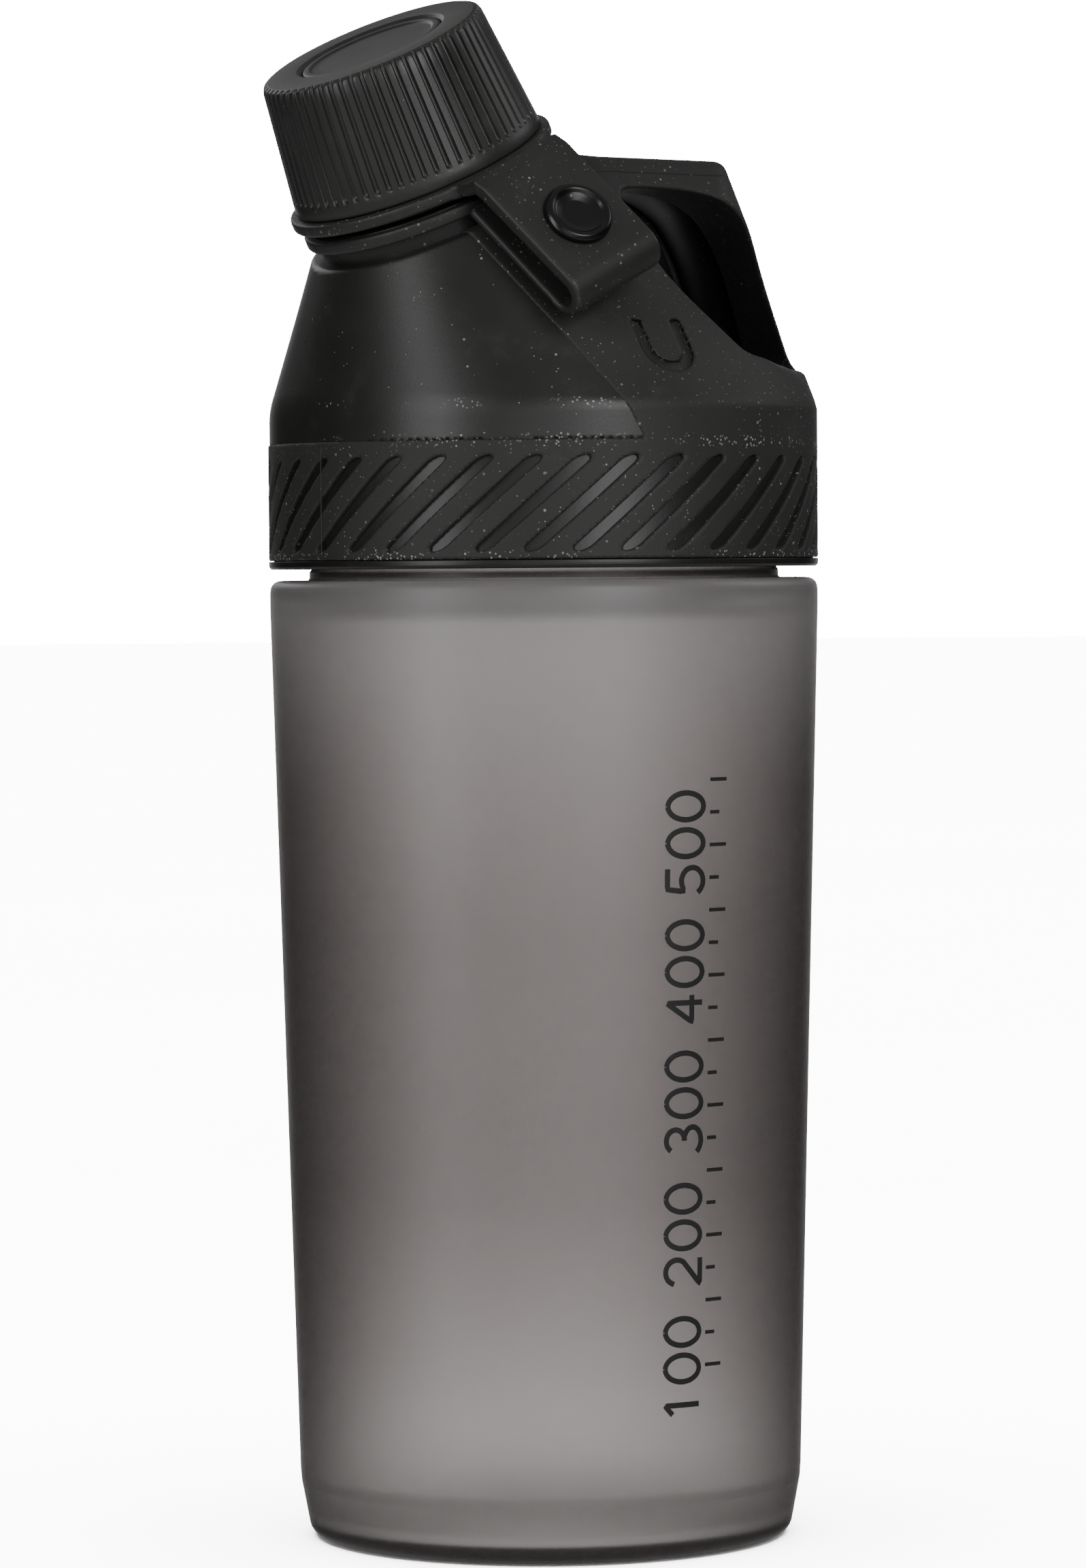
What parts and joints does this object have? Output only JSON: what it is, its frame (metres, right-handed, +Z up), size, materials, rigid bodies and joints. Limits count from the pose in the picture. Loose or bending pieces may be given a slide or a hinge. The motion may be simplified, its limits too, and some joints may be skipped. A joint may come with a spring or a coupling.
{
  "type": "shaker bottle",
  "caption": "Tapered shaker bottle with a screw lid, carry loop and leaning spout closed by a ribbed cap on a folding strap with a magnetic dock.",
  "frame": {"origin": "centre of the round base, on the surface it stands on", "axes": "+Z up along the cup's axis; the spout leans to -X, the carry handle is at +X and the strap with its button is at -Y"},
  "size_m": [0.0918, 0.0862, 0.2395],
  "materials": {
    "cup": "frosted translucent smoke-grey copolyester",
    "seal": "clear-grey silicone",
    "lid_hard": "satin black polypropylene",
    "lid_soft": "matte black soft-touch overmould",
    "handle_core": "satin black polypropylene",
    "grid": "black polypropylene",
    "keeper": "plated steel",
    "tether": "matte black silicone",
    "tether_strap": "matte black silicone",
    "tether_flap": "matte black silicone",
    "button": "glossy black plastic",
    "magnet": "nickel plated magnet",
    "cap": "satin black polypropylene, ribbed side",
    "cap_disc": "satin black polypropylene",
    "liner": "soft seal disc"
  },
  "bodies": {
    "cup": {"cup_body": "cup"},
    "seal": {"lid_gasket": "seal"},
    "lid": {"lid_shell": "lid_hard", "lid_grip": "lid_soft", "handle_core": "handle_core", "mixing_grid": "grid", "keeper_plate": "keeper", "tether_ring": "tether"},
    "strap": {"tether_strap": "tether_strap"},
    "flap": {"tether_flap": "tether_flap", "magnet_button": "button", "button_magnet": "magnet"},
    "liner": {"cap_liner": "liner"},
    "cap": {"spout_cap": "cap", "cap_disc": "cap_disc"}
  },
  "joints": [
    {"name": "lid_lift", "type": "slide", "parent": "cup", "child": "seal", "axis": [0, 0, 1], "range_m": [0, 0.0101]},
    {"name": "lid_turn", "type": "hinge", "parent": "seal", "child": "lid", "pos_m": [0, 0, 0.171], "axis": [0, 0, 1], "range_deg": [0, 450]},
    {"name": "strap_droop", "type": "hinge", "parent": "lid", "child": "strap", "pos_m": [-0.02198, -0.0215, 0.20947], "axis": [0.8988, 0, 0.4384], "range_deg": [0, 11.6]},
    {"name": "cap_flip", "type": "hinge", "parent": "strap", "child": "flap", "pos_m": [-0.01637, -0.0361, 0.19796], "axis": [0.8988, 0, 0.4384], "range_deg": [0, 170]},
    {"name": "cap_lift", "type": "slide", "parent": "flap", "child": "liner", "axis": [-0.4384, 0, 0.8988], "range_m": [0, 0.0041]},
    {"name": "cap_turn", "type": "hinge", "parent": "liner", "child": "cap", "pos_m": [-0.024, 0, 0.2136], "axis": [-0.4384, 0, 0.8988], "range_deg": [0, 360]}
  ],
  "couplings": [
    {"joint": "lid_lift", "follows": "lid_turn", "m_per_rad": 0.0012732},
    {"joint": "strap_droop", "follows": "cap_flip", "ratio": 0.067059},
    {"joint": "cap_lift", "follows": "cap_turn", "m_per_rad": 0.00063662}
  ]
}
